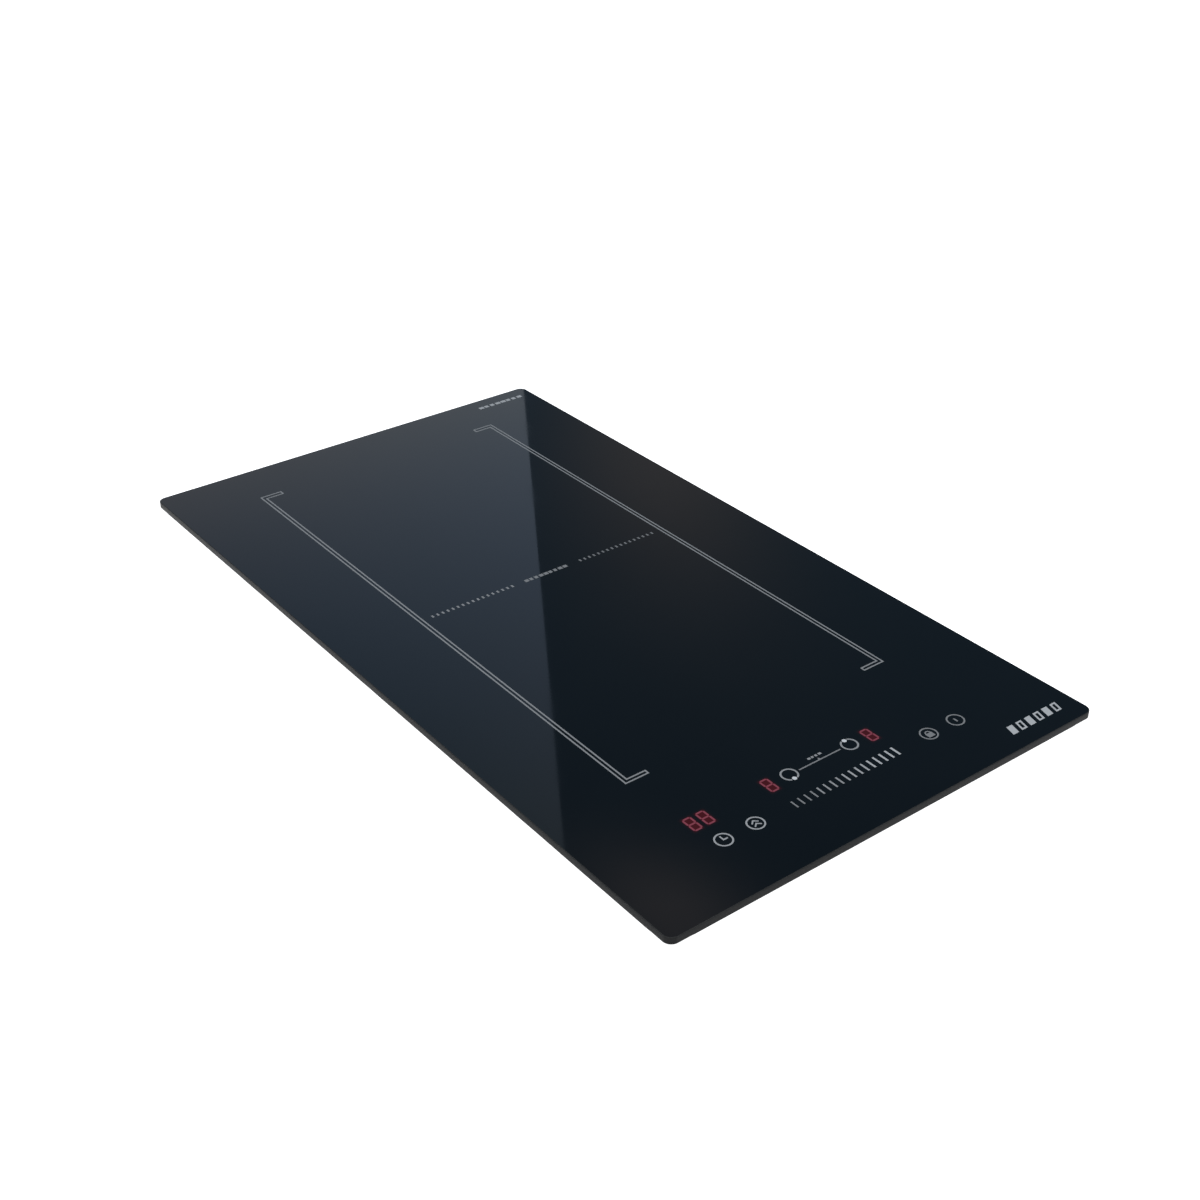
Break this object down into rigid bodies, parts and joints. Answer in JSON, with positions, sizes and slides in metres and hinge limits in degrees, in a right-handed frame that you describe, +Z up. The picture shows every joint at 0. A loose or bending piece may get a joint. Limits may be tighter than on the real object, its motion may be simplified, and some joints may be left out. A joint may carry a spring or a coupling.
{
  "type": "built-in induction cooktop",
  "caption": "Narrow built-in induction cooktop: a black glass plate with two cooking zones and touch controls, over a shallow body that drops into a worktop cut-out.",
  "frame": {"origin": "middle of the cut-out, on the worktop's top face, which the glass's seal rests on", "axes": "+X to the cook's right, +Y away from the cook, +Z up out of the worktop"},
  "size_m": [0.288, 0.52, 0.0584],
  "materials": {
    "black_glass": "polished black glass-ceramic with ground edges",
    "seal_foam": "closed-cell foam",
    "silicone": "satin silicone",
    "frame_plastic": "fine grained black moulding",
    "galvanised_steel": "zinc spangle",
    "spring_steel": "rolled, satin",
    "plated_screws": "bright zinc plate",
    "foot_rubber": "matt",
    "aluminium_sheet": "rolled, satin",
    "sink_aluminium": "extruded, satin",
    "brass": "turned",
    "board_laminate": "green lacquered laminate",
    "touch_laminate": "black lacquered laminate",
    "chip_resin": "moulded resin with tinned legs",
    "capacitor_case": "cast boxes and sleeved cans",
    "choke_winding": "enamelled copper",
    "transformer_core": "laminated",
    "socket_nylon": "natural nylon",
    "blower_plastic": "moulded",
    "sintered_bronze": "sintered",
    "stator_steel": "laminated",
    "shaft_steel": "ground",
    "wire_sleeve": "insulated wires",
    "ribbon": "flat grey cable",
    "holder_plastic": "moulded",
    "display_body": "red segments behind a dark face",
    "foam_pad": "conductive foam",
    "terminal_plastic": "moulded, heat proof",
    "block_plastic": "natural nylon",
    "mica": "pressed mica and fibre",
    "ferrite": "pressed and sintered",
    "former_plastic": "heat proof moulding",
    "copper_litz": "stranded copper wire",
    "sensor_ceramic": "white cap"
  },
  "bodies": {
    "root": {"glass_panel": "black_glass", "worktop_seal": "seal_foam", "frame_adhesive": "silicone", "glass_frame": "frame_plastic", "mica_sheets": "mica", "wall_screws": "plated_screws", "base_pan": "galvanised_steel", "vent_grilles": "frame_plastic", "intake_grille": "frame_plastic", "rubber_feet": "foot_rubber", "base_screws": "plated_screws", "coil_tray": "aluminium_sheet", "support_posts": "brass", "power_board": "board_laminate", "board_screws": "plated_screws", "heat_sink": "sink_aluminium", "power_chips": "chip_resin", "capacitors": "capacitor_case", "filter_choke": "choke_winding", "transformer": "transformer_core", "board_sockets": "socket_nylon", "blower_casing": "blower_plastic", "blower_cover": "blower_plastic", "bearing_bush": "sintered_bronze", "motor_stator": "stator_steel", "wiring": "wire_sleeve", "touch_holder": "holder_plastic", "touch_board": "touch_laminate", "digit_displays": "display_body", "touch_pads": "foam_pad", "ribbon_cable": "ribbon", "terminal_box": "terminal_plastic", "terminal_block": "block_plastic", "terminal_screws": "brass", "hinge_lugs": "spring_steel", "hinge_pin": "shaft_steel", "cable_gland": "terminal_plastic", "gland_nut": "terminal_plastic", "clip_feet": "spring_steel", "front_coil_springs": "spring_steel", "rear_coil_springs": "spring_steel"},
    "blower_rotor": {"blower_rotor": "blower_plastic", "rotor_shaft": "shaft_steel"},
    "terminal_cover": {"terminal_cover": "terminal_plastic"},
    "front_coil": {"front_coil_plate": "aluminium_sheet", "front_ferrite_bars": "ferrite", "front_coil_former": "former_plastic", "front_coil_winding": "copper_litz", "front_sensor_spring": "spring_steel"},
    "front_sensor": {"front_heat_sensor": "sensor_ceramic"},
    "clip_left_front": {"clip_blade_left_front": "spring_steel"},
    "clip_right_front": {"clip_blade_right_front": "spring_steel"},
    "rear_coil": {"rear_coil_plate": "aluminium_sheet", "rear_ferrite_bars": "ferrite", "rear_coil_former": "former_plastic", "rear_coil_winding": "copper_litz", "rear_sensor_spring": "spring_steel"},
    "rear_sensor": {"rear_heat_sensor": "sensor_ceramic"},
    "clip_left_rear": {"clip_blade_left_rear": "spring_steel"},
    "clip_right_rear": {"clip_blade_right_rear": "spring_steel"}
  },
  "joints": [
    {"name": "blower_spin", "type": "hinge", "parent": "root", "child": "blower_rotor", "pos_m": [-0.072, -0.108, -0.039], "axis": [0, 0, 1], "continuous": true},
    {"name": "cover_hinge", "type": "hinge", "parent": "root", "child": "terminal_cover", "pos_m": [0.084, 0.2427, -0.0246], "axis": [1, 0, 0], "range_deg": [0, 100]},
    {"name": "front_coil_float", "type": "slide", "parent": "root", "child": "front_coil", "axis": [0, 0, 1], "range_m": [-0.003, 0], "stiffness_N_per_m": 1500, "springref_m": 0.02, "deforming": ["front_coil_springs"]},
    {"name": "front_sensor_press", "type": "slide", "parent": "front_coil", "child": "front_sensor", "axis": [0, 0, 1], "range_m": [-0.0015, 0], "stiffness_N_per_m": 300, "springref_m": 0.004, "deforming": ["front_sensor_spring"]},
    {"name": "rear_coil_float", "type": "slide", "parent": "root", "child": "rear_coil", "axis": [0, 0, 1], "range_m": [-0.003, 0], "stiffness_N_per_m": 1500, "springref_m": 0.02, "deforming": ["rear_coil_springs"]},
    {"name": "rear_sensor_press", "type": "slide", "parent": "rear_coil", "child": "rear_sensor", "axis": [0, 0, 1], "range_m": [-0.0015, 0], "stiffness_N_per_m": 300, "springref_m": 0.004, "deforming": ["rear_sensor_spring"]},
    {"name": "clip_left_front_flex", "type": "hinge", "parent": "root", "child": "clip_left_front", "pos_m": [-0.1324, -0.11, -0.04], "axis": [0, 1, 0], "range_deg": [0, 4.9], "stiffness_Nm_per_rad": 2, "springref_deg": -0.57},
    {"name": "clip_left_rear_flex", "type": "hinge", "parent": "root", "child": "clip_left_rear", "pos_m": [-0.1324, 0.11, -0.04], "axis": [0, 1, 0], "range_deg": [0, 4.9], "stiffness_Nm_per_rad": 2, "springref_deg": -0.57},
    {"name": "clip_right_front_flex", "type": "hinge", "parent": "root", "child": "clip_right_front", "pos_m": [0.1324, -0.11, -0.04], "axis": [0, -1, 0], "range_deg": [0, 4.9], "stiffness_Nm_per_rad": 2, "springref_deg": -0.57},
    {"name": "clip_right_rear_flex", "type": "hinge", "parent": "root", "child": "clip_right_rear", "pos_m": [0.1324, 0.11, -0.04], "axis": [0, -1, 0], "range_deg": [0, 4.9], "stiffness_Nm_per_rad": 2, "springref_deg": -0.57}
  ]
}
